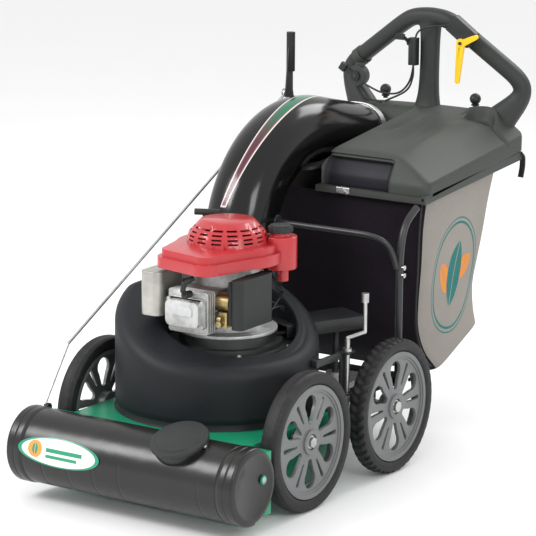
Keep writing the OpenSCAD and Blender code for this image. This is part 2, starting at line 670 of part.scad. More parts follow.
module height_crank() color("silver") {
    translate([crank_x, crank_y, 118]) cylinder(h = 288, r = 7);
    translate([crank_x, crank_y, 372.4]) cylinder(h = 8, r = 13);
    pipe([[crank_x, crank_y, 390], [crank_x, crank_y, 409], [308, 335, 418], [308, 335, 504]], 5.5);
    translate([308, 335, 502]) cylinder(h = 26, r = 10);
}

// ---- door linkage ----
module pull_rod() color("silver") {
    difference() {
        union() {
            cyl_x(rod_x - 7, rod_x - 1, clevis_y, clevis_z, 6.8);
            pipe([[rod_x - 4, clevis_y, clevis_z], [rod_x - 4, -216, 292], [rod_x - 2, -150, 389],
                [rod_x - 2, foot_y - 10, foot_z - 5]], rod_r);
            cyl_x(rod_x - 5, rod_x + 1, foot_y, foot_z, 14);
        }
        cyl_x(rod_x - 10, rod_x + 10, clevis_y, clevis_z, 4 + run);
        cyl_x(rod_x - 10, rod_x + 10, foot_y, foot_z, 8);
    }
}
module door_lever() color([0.15, 0.15, 0.16]) difference() {
    union() {
        along_x(rod_x + 2, rod_x + 6.5) {
            translate([lever_y, lever_z]) circle(14);
            translate([foot_y, foot_z]) circle(12);
            polygon([[lever_y - 14, lever_z], [lever_y + 14, lever_z + 4], [foot_y + 26, foot_z + 8],
                [949, 1124], [933, 1124], [foot_y - 12, foot_z + 2]]);
        }
        cyl_x(rod_x - 9, rod_x + 3, foot_y, foot_z, 4);
        cyl_x(rod_x - 9, rod_x - 6, foot_y, foot_z, 13);
    }
    cyl_x(rod_x - 20, rod_x + 20, lever_y, lever_z, 6 + run);
}
module lever_grip() color([0.06, 0.06, 0.06]) difference() {
    bar([rod_x + 4, 941, 1010], [rod_x + 4, 941, 1128], 13);
    along_x(rod_x + 1.8, rod_x + 6.7) polygon([[foot_y + 26, foot_z + 8], [949.4, 1124.3], [932.6, 1124.3],
        [foot_y - 12, foot_z + 2]]);
}

// ---- bag ----
module bag() color("silver") difference() {
    along_x(-294, 294) polygon([[646, 722], [608, 590], [622, 440], [694, 305], [767, 191], [1030, 262],
        [1120, 420], [1164, 762]]);
    along_x(-288, 288) polygon([[640, 760], [653, 722], [614.5, 590], [628, 441], [699, 308], [770, 198],
        [1026.5, 267.3], [1114.5, 421], [1158, 762], [1158, 800]]);
}

placed() deck();
placed() blower_housing();
placed() housing_top_plate();
placed() housing_screws();
placed() discharge_chute();
placed() chute_strap();
placed() rear_frame();
placed() frame_hoop();
placed() frame_uprights();
placed() frame_bolts();
placed() cover();
placed() bag_rails();
placed() handle();
placed() control_box();
placed() throttle_clamp();
placed() control_cables();
placed() engine_block();
placed() cylinder_head();
placed() valve_cover();
placed() muffler();
placed() air_cleaner();
placed() carburettor();
placed() shroud();
placed() recoil_cover();
placed() fuel_tank();
placed() spark_plug();
placed() belt_guard();
placed() drive_belt();
placed() gearbox();
placed() axle_bearings();
placed() crankshaft();
placed() flywheel();
placed() impeller();
placed() engine_pulley();
placed() tyre_front_left();
placed() rim_front_left();
placed() tyre_front_right();
placed() rim_front_right();
placed() tyre_rear_left();
placed() rim_rear_left();
placed() tyre_rear_right();
placed() rim_rear_right();
placed() front_axle();
placed() front_wheel_nuts();
placed() height_crank();
placed() rear_axle();
placed() gearbox_pulley();
placed() nozzle_door();
placed() port_cap();
placed() pull_rod();
placed() door_lever();
placed() lever_grip();
placed() fuel_cap();
placed() starter_grip();
placed() drive_lever();
placed() throttle_lever();
placed() choke_lever();
placed() knob_left();
placed() knob_right();
placed() bag();
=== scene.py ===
# Leaf vacuum mulcher: finished surfaces, materials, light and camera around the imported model
import json
import math
import bmesh
import bpy
import numpy as np
from mathutils import Matrix, Vector


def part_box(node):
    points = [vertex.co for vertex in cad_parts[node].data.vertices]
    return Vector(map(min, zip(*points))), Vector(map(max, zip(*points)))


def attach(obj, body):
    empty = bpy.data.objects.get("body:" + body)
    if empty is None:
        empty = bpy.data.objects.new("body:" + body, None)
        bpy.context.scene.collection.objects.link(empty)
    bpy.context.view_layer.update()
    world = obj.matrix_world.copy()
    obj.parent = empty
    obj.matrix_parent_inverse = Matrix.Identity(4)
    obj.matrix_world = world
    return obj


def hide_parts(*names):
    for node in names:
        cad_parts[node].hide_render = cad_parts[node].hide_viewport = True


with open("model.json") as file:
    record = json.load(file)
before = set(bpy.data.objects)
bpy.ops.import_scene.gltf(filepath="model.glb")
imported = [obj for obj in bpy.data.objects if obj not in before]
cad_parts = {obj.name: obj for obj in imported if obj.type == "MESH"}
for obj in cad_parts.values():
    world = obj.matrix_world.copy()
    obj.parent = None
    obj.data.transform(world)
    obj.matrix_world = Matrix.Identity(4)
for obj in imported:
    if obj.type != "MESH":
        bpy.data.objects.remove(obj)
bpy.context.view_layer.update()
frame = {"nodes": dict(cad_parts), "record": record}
cadNodes = frame["nodes"]
record = frame["record"]
slotOf = {part["node"]: part["material_slot"] for part in record["subparts"]}
bodyOf = {node: body for body, members in record["behaviour"]["bodies"].items() for node in members}
hubLow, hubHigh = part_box("rim_front_left")
frontAxleY = (hubLow[1] + hubHigh[1]) / 2
wheelbase = 0.434
print("frame loaded:", len(cadNodes), "nodes")


def placed(points):
    # millimetres from the front wheels' axis and the ground, turned into the frame's metres
    return np.asarray(points, float) / 1000 + np.array([0.0, frontAxleY, 0.0])


def linked(name, data):
    obj = bpy.data.objects.new(name, data)
    bpy.context.scene.collection.objects.link(obj)
    return obj


# ---- camera ----
view = {"place": (4172.8, -5937.4, 2257.1), "azimuth": 33.721, "elevation": 12.709, "roll": 0.379, "lens": 185.25}


def makeCamera():
    # the back axis comes from azimuth and elevation; right and up are turned about it by the roll
    az, el, roll = (math.radians(view[key]) for key in ("azimuth", "elevation", "roll"))
    back = Vector((math.sin(az) * math.cos(el), -math.cos(az) * math.cos(el), math.sin(el)))
    flat = Vector((math.cos(az), math.sin(az), 0))
    up = back.cross(flat)
    right = flat * math.cos(roll) + up * math.sin(roll)
    up = back.cross(right)
    turn = Matrix((right, up, back)).transposed().to_4x4()
    data = bpy.data.cameras.new("camera")
    data.lens, data.sensor_width = view["lens"], 36
    data.clip_end = 60
    camera = linked("camera", data)
    camera.matrix_world = Matrix.Translation(Vector(placed(view["place"]))) @ turn
    bpy.context.scene.camera = camera


makeCamera()


# ---- material tools ----
class Signal:
    # a socket in a material; arithmetic on it adds Math nodes
    def __init__(self, shader, socket):
        self.shader, self.socket = shader, socket

    def math(self, operation, *others):
        sockets = {i: value for i, value in enumerate((self,) + others)}
        return self.shader.node("Math", {"operation": operation}, sockets)

    def __add__(self, other): return self.math("ADD", other)
    def __mul__(self, other): return self.math("MULTIPLY", other)
    def __truediv__(self, other): return self.math("DIVIDE", other)
    def __sub__(self, other): return self.math("SUBTRACT", other)
    def __rsub__(self, other): return self.shader.node("Math", {"operation": "SUBTRACT"}, {0: other, 1: self})
    def __neg__(self): return self * -1
    def __abs__(self): return self.math("ABSOLUTE")

    def sine(self): return self.math("SINE")
    def root(self): return self.math("SQRT")
    def most(self, other): return self.math("MAXIMUM", other)

    def step(self, low, high):
        # 0 below low, 1 above high, smooth between
        return self.shader.node("MapRange", {"interpolation_type": "SMOOTHSTEP"},
                                {"Value": self, "From Min": low, "From Max": high})


class Shader:
    # one material; node() makes any node from its type, settings and socket values
    def __init__(self, name):
        self.material = bpy.data.materials.new(name)
        self.material.use_nodes = True
        self.tree = self.material.node_tree
        self.tree.nodes.clear()
        self.point = self.node("TexCoord", {}, {}, "Object")

    def node(self, kind, settings, sockets, output=0):
        made = self.tree.nodes.new("ShaderNode" + kind)
        for key, value in settings.items():
            setattr(made, key, value)
        for key, value in sockets.items():
            if isinstance(value, Signal):
                self.tree.links.new(value.socket, made.inputs[key])
            else:
                made.inputs[key].default_value = value
        return Signal(self, made.outputs[output])

    def axes(self):
        split = self.tree.nodes.new("ShaderNodeSeparateXYZ")
        self.tree.links.new(self.point.socket, split.inputs[0])
        return [Signal(self, split.outputs[i]) for i in range(3)]

    def attribute(self, name):
        return self.node("Attribute", {"attribute_name": name}, {}, "Fac")

    def noise(self, scale, detail=2.0, roughness=0.5):
        return self.node("TexNoise", {}, {"Vector": self.point, "Scale": scale, "Detail": detail,
                                          "Roughness": roughness}, "Fac")

    def mix(self, share, first, second):
        full = [value if isinstance(value, Signal) else (*value, 1.0) for value in (first, second)]
        return self.node("Mix", {"data_type": "RGBA"}, {0: share, 6: full[0], 7: full[1]}, 2)

    def finish(self, colour, roughness, height=None, depth=0.0003, metallic=0.0, **constants):
        sockets = {"Base Color": colour if isinstance(colour, Signal) else (*colour, 1.0),
                   "Roughness": roughness, "Metallic": metallic}
        sockets.update({key.replace("_", " "): value for key, value in constants.items()})
        if height is not None:
            sockets["Normal"] = self.node("Bump", {}, {"Height": height, "Distance": depth, "Strength": 1.0})
        surface = self.node("BsdfPrincipled", {}, sockets)
        end = self.tree.nodes.new("ShaderNodeOutputMaterial")
        self.tree.links.new(surface.socket, end.inputs["Surface"])
        return self.material


def reach(u, v):
    # how far the point (u, v) is from zero
    return (u * u + v * v).root()


def plastic(name, look):
    # fine moulded grain over slow waves; a soft mottle shifts the colour and small scuffs pale it
    shader = Shader(name)
    mottle = shader.noise(7.0, 4.0, 0.6)
    scuff = shader.noise(90.0, 6.0, 0.75).step(0.62, 0.78) * look.get("scuff", 0.25)
    colour = shader.mix(mottle, look["colour"], look["second"])
    colour = shader.mix(scuff, colour, look.get("pale", [0.25 + 0.6 * c for c in look["second"]]))
    grain = shader.noise(look.get("grain", 900.0), 2.0)
    waves = shader.noise(look.get("waves", 14.0), 2.0)
    height = grain * look.get("grainShare", 0.35) + waves * look.get("waveShare", 2.0)
    rough = mottle * 0.12 + scuff * 0.3 + (look["rough"] - 0.06)
    return shader.finish(colour, rough, height, look.get("depth", 0.00025), Coat_Weight=look.get("coat", 0.0),
                         Specular_IOR_Level=look.get("shine", 0.28))


def metal(name, look):
    # bare metal: slow stains change colour and roughness, fine noise is the cast skin
    shader = Shader(name)
    stain = shader.noise(look.get("stain", 22.0), 5.0, 0.65)
    colour = shader.mix(stain.step(0.35, 0.7), look["colour"], look["second"])
    skin = shader.noise(look.get("grain", 700.0), 3.0)
    rough = stain * 0.25 + (look["rough"] - 0.1)
    return shader.finish(colour, rough, skin, look.get("depth", 0.00012), look.get("metallic", 1.0))


def paint(name, look):
    # sprayed coat with orange peel and grime, and chips that show dark primer on the highest noise peaks
    shader = Shader(name)
    peel = shader.noise(420.0, 2.0)
    tone = shader.noise(6.0, 3.0)
    chips = shader.noise(55.0, 8.0, 0.7).step(0.7, 0.74)
    grime = shader.noise(16.0, 6.0, 0.7).step(0.5, 0.8) * 0.35
    colour = shader.mix(tone, look["colour"], look["second"])
    colour = shader.mix(grime, colour, look["grime"])
    colour = shader.mix(chips * look.get("chips", 0.6), colour, (0.03, 0.03, 0.03))
    return shader.finish(colour, tone * 0.1 + (look["rough"] - 0.05) + grime * 0.4, peel - chips * 2.0, 0.00015)


def rubber(name):
    # dull black rubber, greyed by dust in patches
    shader = Shader(name)
    dust = shader.noise(30.0, 6.0, 0.7).step(0.45, 0.8)
    colour = shader.mix(dust * 0.6, (0.017, 0.017, 0.018), (0.06, 0.057, 0.052))
    return shader.finish(colour, dust * 0.2 + 0.52, shader.noise(650.0, 3.0) + dust, 0.0003, Specular_IOR_Level=0.25)


materials = {
    "green_paint": paint("greenPaint", {"colour": (0.005, 0.23, 0.115), "second": (0.008, 0.28, 0.14),
                                         "grime": (0.03, 0.12, 0.07), "rough": 0.36}),
    "housing_plastic": plastic("housingPlastic", {"colour": (0.006, 0.0075, 0.0095), "second": (0.011, 0.013, 0.016),
                                                  "rough": 0.56, "grain": 1100.0, "waveShare": 1.2}),
    "chute_plastic": plastic("chutePlastic", {"colour": (0.006, 0.007, 0.007), "second": (0.012, 0.012, 0.011),
                                              "rough": 0.27, "scuff": 0.05, "shine": 0.5, "grainShare": 0.03,
                                              "waveShare": 3.0}),
    "cover_plastic": plastic("coverPlastic", {"colour": (0.034, 0.038, 0.035), "second": (0.050, 0.055, 0.050),
                                              "rough": 0.55, "grain": 800.0}),
    "handle_plastic": plastic("handlePlastic", {"colour": (0.022, 0.026, 0.024), "second": (0.034, 0.038, 0.035),
                                                "rough": 0.52, "grain": 800.0}),
    "nozzle_plastic": plastic("nozzlePlastic", {"colour": (0.007, 0.007, 0.007), "second": (0.015, 0.0145, 0.014),
                                                "rough": 0.29, "shine": 0.45, "waves": 9.0,
                                                "waveShare": 6.0, "grainShare": 0.15,
                                                "scuff": 0.10, "depth": 0.0004}),
    "black_plastic": plastic("blackPlastic", {"colour": (0.016, 0.018, 0.018), "second": (0.030, 0.033, 0.032),
                                              "rough": 0.45, "grain": 1200.0}),
    "black_steel": paint("blackSteel", {"colour": (0.014, 0.015, 0.016), "second": (0.022, 0.023, 0.024),
                                        "grime": (0.05, 0.05, 0.048), "rough": 0.38, "chips": 0.0}),
    "bright_steel": metal("brightSteel", {"colour": (0.55, 0.55, 0.54), "second": (0.40, 0.40, 0.39), "rough": 0.33}),
    "alloy": metal("castAlloy", {"colour": (0.62, 0.63, 0.63), "second": (0.42, 0.42, 0.40), "rough": 0.5,
                                 "metallic": 0.85, "grain": 420.0, "depth": 0.0004}),
    "cast_iron": metal("castIron", {"colour": (0.10, 0.10, 0.10), "second": (0.06, 0.055, 0.05), "rough": 0.6,
                                    "grain": 380.0, "depth": 0.0004}),
    "brass": metal("brass", {"colour": (0.62, 0.47, 0.22), "second": (0.35, 0.27, 0.14), "rough": 0.4}),
    "red_plastic": plastic("redPlastic", {"colour": (0.40, 0.018, 0.024), "second": (0.48, 0.028, 0.034),
                                          "pale": (0.8, 0.2, 0.18), "rough": 0.30, "scuff": 0.05,
                                          "grainShare": 0.08, "coat": 0.2, "shine": 0.5}),
    "yellow_plastic": plastic("yellowPlastic", {"colour": (0.93, 0.52, 0.01), "second": (0.95, 0.60, 0.03),
                                                "pale": (0.95, 0.7, 0.3), "rough": 0.4, "scuff": 0.05}),
    "rim_plastic": plastic("rimPlastic", {"colour": (0.115, 0.118, 0.12), "second": (0.155, 0.158, 0.16),
                                          "rough": 0.40, "grain": 1000.0, "shine": 0.5}),
    "tyre": rubber("tyreRubber"),
    "belt_rubber": rubber("softRubber"),
    "bag_fabric": rubber("bagLining"),
}
dullSilver = metal("mufflerSilver", {"colour": (0.50, 0.49, 0.45), "second": (0.30, 0.29, 0.27), "rough": 0.36,
                                     "metallic": 0.9, "grain": 200.0, "stain": 9.0, "depth": 0.0002})
for nodeName, cadObject in cadNodes.items():
    cadObject.data.materials.clear()
    cadObject.data.materials.append(dullSilver if nodeName == "muffler" else materials[slotOf[nodeName]])
print("materials made")


# ---- number tools ----
def ramp(value, start, end):
    # 0 up to start, 1 from end on, straight between; end may be the lower one
    return np.clip((value - start) / (end - start), 0, 1)


def bump(value, width):
    # 1 where value is 0, falling away to both sides
    return np.exp(-(value / width) ** 2)


def sigmoid(value, width):
    # 0 well below zero, 1 well above it
    return 1 / (1 + np.exp(-value / width))


def runLength(line):
    # the way along a line from its first point to each point
    return np.concatenate([[0], np.cumsum(np.linalg.norm(np.diff(line, axis=0), axis=1))])


# ---- mesh tools ----
def closedUp(obj, merge=2e-6):
    # joins doubled points, so seams and poles close, and turns every face outward
    work = bmesh.new()
    work.from_mesh(obj.data)
    if merge:
        bmesh.ops.remove_doubles(work, verts=work.verts, dist=merge)
    bmesh.ops.recalc_face_normals(work, faces=work.faces)
    work.to_mesh(obj.data)
    work.free()
    return obj


def show(obj, body, slotName, material=None, replacing=(), angle=40):
    # gives a piece its material, smooth shading up to an angle and its body; the slot name picks the material when
    # none is given
    obj.data.materials.clear()
    obj.data.materials.append(material or materials[slotName])
    obj.data.shade_smooth()
    obj.data.set_sharp_from_angle(angle=math.radians(angle))
    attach(obj, body)
    if replacing:
        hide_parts(*replacing)
    return obj


def skin(name, grid, around=False, along=False, caps=False, values=None, dropped=None):
    # rows and columns of points become quads; around joins the last column to the first, along the last row
    rows, columns = grid.shape[:2]
    index = np.arange(rows * columns).reshape(rows, columns)
    if around:
        index = np.concatenate([index, index[:, :1]], axis=1)
    if along:
        index = np.concatenate([index, index[:1]], axis=0)
    quads = np.stack([index[:-1, :-1], index[:-1, 1:], index[1:, 1:], index[1:, :-1]], axis=-1).reshape(-1, 4)
    if dropped is not None:
        quads = quads[~dropped.reshape(-1)[quads].all(axis=1)]
    faces = quads.tolist()
    if caps:
        faces += [index[0, :columns].tolist(), index[-1, :columns][::-1].tolist()]
    mesh = bpy.data.meshes.new(name)
    mesh.from_pydata(grid.reshape(-1, 3).tolist(), [], faces)
    for key, field in (values or {}).items():
        layer = mesh.attributes.new(key, "FLOAT", "POINT")
        layer.data.foreach_set("value", np.asarray(field, np.float32).reshape(-1))
    return linked(name, mesh)


def turned(points, bend, steps):
    # each inner corner of a line becomes a quadratic curve that starts and ends `bend` from it
    points = np.asarray(points, float)
    t = np.linspace(0, 1, steps)[:, None]
    pieces = [points[:1]]
    for before, corner, after in zip(points[:-2], points[1:-1], points[2:]):
        back, on = before - corner, after - corner
        enter = corner + back * min(bend / np.linalg.norm(back), 0.49)
        leave = corner + on * min(bend / np.linalg.norm(on), 0.49)
        pieces.append((1 - t) ** 2 * enter + 2 * t * (1 - t) * corner + t ** 2 * leave)
    return np.concatenate(pieces + [points[-1:]])


def oval(columns, power):
    # a circle whose corners are squared by a power above 2
    turn = np.linspace(0, 2 * np.pi, columns, endpoint=False)
    squeeze = 2.0 / power
    return (np.sign(np.cos(turn)) * np.abs(np.cos(turn)) ** squeeze,
            np.sign(np.sin(turn)) * np.abs(np.sin(turn)) ** squeeze)


def sweptRings(path, side, width, depth, columns, power):
    # an oval stands square to the path at each point, with its first axis as near to `side` as it can be
    path = np.asarray(path, float)
    tangent = np.gradient(path, axis=0)
    tangent /= np.linalg.norm(tangent, axis=1, keepdims=True)
    first = np.asarray(side, float) - (tangent @ np.asarray(side, float))[:, None] * tangent
    first /= np.linalg.norm(first, axis=1, keepdims=True)
    second = np.cross(tangent, first)
    across, up = oval(columns, power)
    width = np.broadcast_to(width, len(path))[:, None, None]
    depth = np.broadcast_to(depth, len(path))[:, None, None]
    wide = first[:, None] * across[None, :, None] * width
    deep = second[:, None] * up[None, :, None] * depth
    return path[:, None] + wide + deep


def tube(name, path, side, width, depth=None, columns=20, power=2.0):
    rings = sweptRings(path, side, width, width if depth is None else depth, columns, power)
    return closedUp(skin(name, placed(rings), around=True, caps=True))


def lathed(name, profile, centre, axis, steps):
    # a profile of (radius, distance) points turned about an axis through centre
    profile = np.asarray(profile, float)
    axis = np.asarray(axis, float) / np.linalg.norm(axis)
    first = np.cross(axis, [1.0, 0.0, 0.0] if abs(axis[0]) < 0.9 else [0.0, 1.0, 0.0])
    first /= np.linalg.norm(first)
    second = np.cross(axis, first)
    turn = np.linspace(0, 2 * np.pi, steps, endpoint=False)
    rim = np.cos(turn)[:, None] * first + np.sin(turn)[:, None] * second
    grid = np.asarray(centre, float) + profile[:, 0][:, None, None] * rim[None] + profile[:, 1][:, None, None] * axis
    return closedUp(skin(name, placed(grid), around=True))


def joined(name, parts):
    # several meshes become one piece
    work = bmesh.new()
    for part in parts:
        work.from_mesh(part.data)
        bpy.data.objects.remove(part)
    mesh = bpy.data.meshes.new(name)
    work.to_mesh(mesh)
    work.free()
    return linked(name, mesh)


def applied(obj):
    # the mesh with its modifiers worked in
    bpy.context.view_layer.update()
    shape = bpy.data.meshes.new_from_object(obj.evaluated_get(bpy.context.evaluated_depsgraph_get()))
    obj.modifiers.clear()
    obj.data = shape
    return obj


def thickened(obj, wall):
    # a sheet gets a wall of so many millimetres, to its inside
    solid = obj.modifiers.new("wall", "SOLIDIFY")
    solid.thickness, solid.offset = wall / 1000, -1
    return applied(obj)


def softened(node, edge, steps=3, material=None, angle=32):
    # a merged copy of a CAD node whose sharp edges are rounded, in millimetres
    mesh = cadNodes[node].data.copy()
    obj = linked(node + "Skin", mesh)
    work = bmesh.new()
    work.from_mesh(mesh)
    bmesh.ops.remove_doubles(work, verts=work.verts, dist=1e-5)
    bmesh.ops.dissolve_limit(work, angle_limit=math.radians(1.5), verts=work.verts, edges=work.edges)
    work.to_mesh(mesh)
    work.free()
    bevel = obj.modifiers.new("edges", "BEVEL")
    bevel.width, bevel.segments = edge / 1000, steps
    bevel.limit_method, bevel.angle_limit = "ANGLE", math.radians(angle)
    bevel.use_clamp_overlap = True
    applied(obj)
    return show(obj, bodyOf[node], slotOf[node], material, (node,), 38)


# ---- wheels ----
wheel = {"radius": 190.5, "halfWidth": 25.0, "bead": 155.0, "lugs": 46, "lugDepth": 5.0, "side": 336.0,
         "grooves": (7.0, 17.0), "grooveDepth": 1.8, "rings": ((172.0, 0.9, 2.2), (179.0, -0.8, 1.6))}


def makeTyre(name, side, axleY, lugged):
    # a squared oval is carried round the axle; lugs and grooves sink its tread, and rings stand out on its sides
    sweep, around = (460 if lugged else 160), 56
    turn = np.linspace(0, 2 * np.pi, sweep, endpoint=False)[:, None]
    across, up = oval(around, 3.6)
    middle, half = (wheel["radius"] + wheel["bead"]) / 2, (wheel["radius"] - wheel["bead"]) / 2
    offset, radius = across[None] * wheel["halfWidth"], middle + up[None] * half
    tread = ramp(up[None], 0.55, 0.85)
    if lugged:  # chunky blocks that cross the tread in two staggered rows
        place = turn * wheel["lugs"] / (2 * np.pi) + 0.5 * (offset > 0) + np.abs(offset) / 60
        wave = np.abs((place % 1) - 0.5) * 2
        edge = ramp(wave, 0.36, 0.52)
        seam = ramp(np.abs(offset), 1.5, 4.0)
        sink = wheel["lugDepth"] * tread * (1 - edge * seam)
    else:
        grooves = sum(bump(np.abs(offset) - at, 1.4) for at in wheel["grooves"])
        sink = wheel["grooveDepth"] * grooves * tread + 0 * turn
    ring = sum(height * bump(radius - at, width) for at, height, width in wheel["rings"])
    radius = radius - sink
    offset = offset + np.sign(offset) * ring * (np.abs(across[None]) > 0.8) + 0 * turn
    grid = np.stack([side * wheel["side"] + offset, axleY * 1000 + radius * np.cos(turn),
                     wheel["radius"] + radius * np.sin(turn)], axis=-1)
    obj = closedUp(skin(name + "Tread", placed(grid), around=True, along=True))
    show(obj, bodyOf[name], "tyre", None, (name,), 50)


for sideName, side in (("left", 1), ("right", -1)):
    makeTyre("tyre_front_" + sideName, side, 0.0, False)
    makeTyre("tyre_rear_" + sideName, side, wheelbase, True)
    for end in ("front", "rear"):
        softened(f"rim_{end}_{sideName}", 2.6)
print("wheels made")


# ---- blower housing ----
housing = {"centre": (-18.0, 92.0), "radius": 280.0, "well": (0.0, 115.0), "wellRadius": 190.0,
           "foot": 217.0, "level": 388.0, "slope": 0.42, "slopeStart": -113.0, "highest": 536.0, "round": 40.0,
           "lipRound": 7.0, "inside": ((30.0, 366.0), (8.0, 225.0))}
duct = {"x": -180.0, "half": 97.0, "start": 262.0, "end": 520.0, "floor": 248.0, "top": 534.0, "power": 4.5}


def rimHeight(x, y):
    # level at the front and left, rising as one slanted plane to the right rear
    rise = housing["slope"] * (-0.8 * x + 0.6 * y - housing["slopeStart"])
    soft = np.log1p(np.exp(np.clip(rise / 14.0, -30, 30))) * 14.0
    return housing["level"] + np.minimum(soft, housing["highest"] - housing["level"])


def makeHousing():
    # rows run up the outer wall, over a rounded shoulder, across the rim, down into the engine's well and back below
    turn = np.linspace(0, 2 * np.pi, 216, endpoint=False)
    outer = np.stack([housing["centre"][0] + housing["radius"] * np.cos(turn),
                      housing["centre"][1] + housing["radius"] * np.sin(turn)], axis=-1)
    inner = np.stack([housing["well"][0] + housing["wellRadius"] * np.cos(turn),
                      housing["well"][1] + housing["wellRadius"] * np.sin(turn)], axis=-1)
    gap = np.linalg.norm(inner - outer, axis=1)
    inward = (inner - outer) / gap[:, None]
    rows = []

    def row(distance, height):
        plan = outer + inward * np.broadcast_to(distance, gap.shape)[:, None]
        rows.append(np.concatenate([plan, np.broadcast_to(height, gap.shape)[:, None]], axis=1))

    shoulder = rimHeight(*(outer + inward * 30).T)
    for rise, inset in ((0, -3.0), (3, -0.5), (10, 0.0), (14, 2.0), (18, 2.0), (22, -0.5)):
        row(inset, housing["foot"] + rise)
    for share in np.linspace(0.1, 1, 9):
        row(0, housing["foot"] + 22 + (shoulder - housing["round"] - housing["foot"] - 22) * share)
    for beta in np.linspace(0.12, 1, 12) * math.pi / 2:
        row(housing["round"] * (1 - math.cos(beta)), shoulder - housing["round"] * (1 - math.sin(beta)))
    for share in np.linspace(0.15, 0.86, 6):
        inset = housing["round"] + (gap - housing["round"]) * share
        row(inset, rimHeight(*(outer + inward * inset[:, None]).T))
    lip, lipRound = rimHeight(*inner.T), housing["lipRound"]
    for beta in np.linspace(0.1, 1, 6) * math.pi / 2:
        row(gap - lipRound * (1 - math.sin(beta)), lip - lipRound * (1 - math.cos(beta)))
    row(gap, np.minimum(lip - 9, 380.0))
    row(gap + 1, 372.0)
    for inset, height in housing["inside"]:
        row(inset, height)
    return closedUp(skin("housingSkin", placed(np.stack(rows)), around=True, along=True))


def makeDuct():
    # squared ovals run back from the drum to under the chute
    y = np.linspace(duct["start"], duct["end"], 24)
    x = np.full_like(y, duct["x"])
    top = np.minimum(rimHeight(x, y) - 2, duct["top"])
    path = np.stack([x, y, (duct["floor"] + top) / 2], axis=-1)
    return tube("ductSkin", path, (1, 0, 0), duct["half"], (top - duct["floor"]) / 2, 48, duct["power"])


drum = joined("blowerHousing", [makeHousing(), makeDuct()])
show(drum, "chassis", "housing_plastic", None, ("blower_housing",), 45)
print("housing made")

# ---- discharge chute ----
chute = {"x": -180.0, "half": 99.0, "depth": 99.0, "bendCentre": (747.0, 565.0), "bendRadius": 310.0,
         "endAngle": 77.2, "exit": 269.0, "foot": 432.0, "wall": 4.0, "power": 2.26,
         "mouth": 772.0, "mouthStart": 640.0, "stripeStart": 240.0, "stripeEnd": 735.0}
apron = {"centre": (-184.0, 880.0), "half": (113.0, 226.0), "hole": (-180.0, 868.0), "holeHalf": (86.0, 196.0)}


def chutePath():
    # straight up, round the bend, then straight back into the bag
    up = np.linspace(chute["foot"], chute["bendCentre"][1], 10)[:-1]
    first = np.stack([np.full_like(up, chute["bendCentre"][0] - chute["bendRadius"]), up], axis=-1)
    turn = np.radians(np.linspace(180, chute["endAngle"], 60))
    bend = np.stack([np.cos(turn), np.sin(turn)], axis=-1) * chute["bendRadius"] + chute["bendCentre"]
    end = math.radians(chute["endAngle"])
    out = np.linspace(0, chute["exit"], 24)[1:, None]
    last = bend[-1] + out * np.array([math.sin(end), -math.cos(end)])
    line = np.concatenate([first, bend, last])
    return np.concatenate([np.full((len(line), 1), chute["x"]), line], axis=1)


def chuteMaterial():
    # a tapered stripe, green above and maroon below, inside a thin pale outline, over the gloss black
    shader = Shader("chuteStripe")
    along, across, outward = (shader.attribute(key) for key in ("along", "across", "outward"))
    share = (along - chute["stripeStart"]) / (chute["stripeEnd"] - chute["stripeStart"])
    half = share * 17.0 + 10.0
    centre = share * (150.0 - share * 165.0) - 8.0
    away = abs(across - centre)
    inside = (half - away).step(0.0, 1.2) * share.step(0.0, 0.006) * (1 - share).step(0.0, 0.004)
    inside = inside * outward.step(0.0, 0.1)
    core = (half - away).step(3.0, 4.2) * share.step(0.006, 0.012) * (1 - share).step(0.006, 0.012)
    band = (half - away).step(5.6, 6.6) * share.step(0.014, 0.02)
    fade = shader.mix(share.step(0.30, 0.62), (0.085, 0.030, 0.040), (0.015, 0.14, 0.075))
    stripe = shader.mix(band, shader.mix(core, (0.72, 0.70, 0.68), (0.33, 0.13, 0.15)), fade)
    mottle = shader.noise(7.0, 4.0, 0.6)
    black = shader.mix(mottle, (0.002, 0.0025, 0.0025), (0.005, 0.005, 0.0045))
    dust = shader.noise(70.0, 6.0, 0.75).step(0.6, 0.8)
    colour = shader.mix(inside, shader.mix(dust * 0.08, black, (0.2, 0.2, 0.2)), stripe)
    rough = mottle * 0.08 + 0.13 + dust * 0.1
    return shader.finish(colour, rough, shader.noise(11.0, 2.0) + inside * 0.1, 0.0006, Specular_IOR_Level=0.4)


def makeChute():
    # a swept oval, cut level where it opens down into the bag
    path, columns = chutePath(), 72
    rings = sweptRings(path, (1, 0, 0), chute["half"], chute["depth"], columns, chute["power"])
    across, up = oval(columns, chute["power"])
    cut = (rings[..., 1] > chute["mouthStart"]) & (rings[..., 2] < chute["mouth"])
    rings[..., 2] = np.where(cut, chute["mouth"], rings[..., 2])
    fields = {"along": np.broadcast_to(runLength(path)[:, None], cut.shape),
              "across": np.broadcast_to(across[None] * chute["half"], cut.shape),
              "outward": np.broadcast_to(-up[None], cut.shape)}
    obj = skin("dischargeChute", placed(rings), around=True, values=fields, dropped=cut)
    return thickened(closedUp(obj, merge=None), chute["wall"])


show(makeChute(), "chassis", "chute_plastic", chuteMaterial(), ("discharge_chute",), 50)


def coverBase(y):
    # the level of the cover's widest line, which rises towards the handle
    return 762 + 0.1126 * (y - 677)


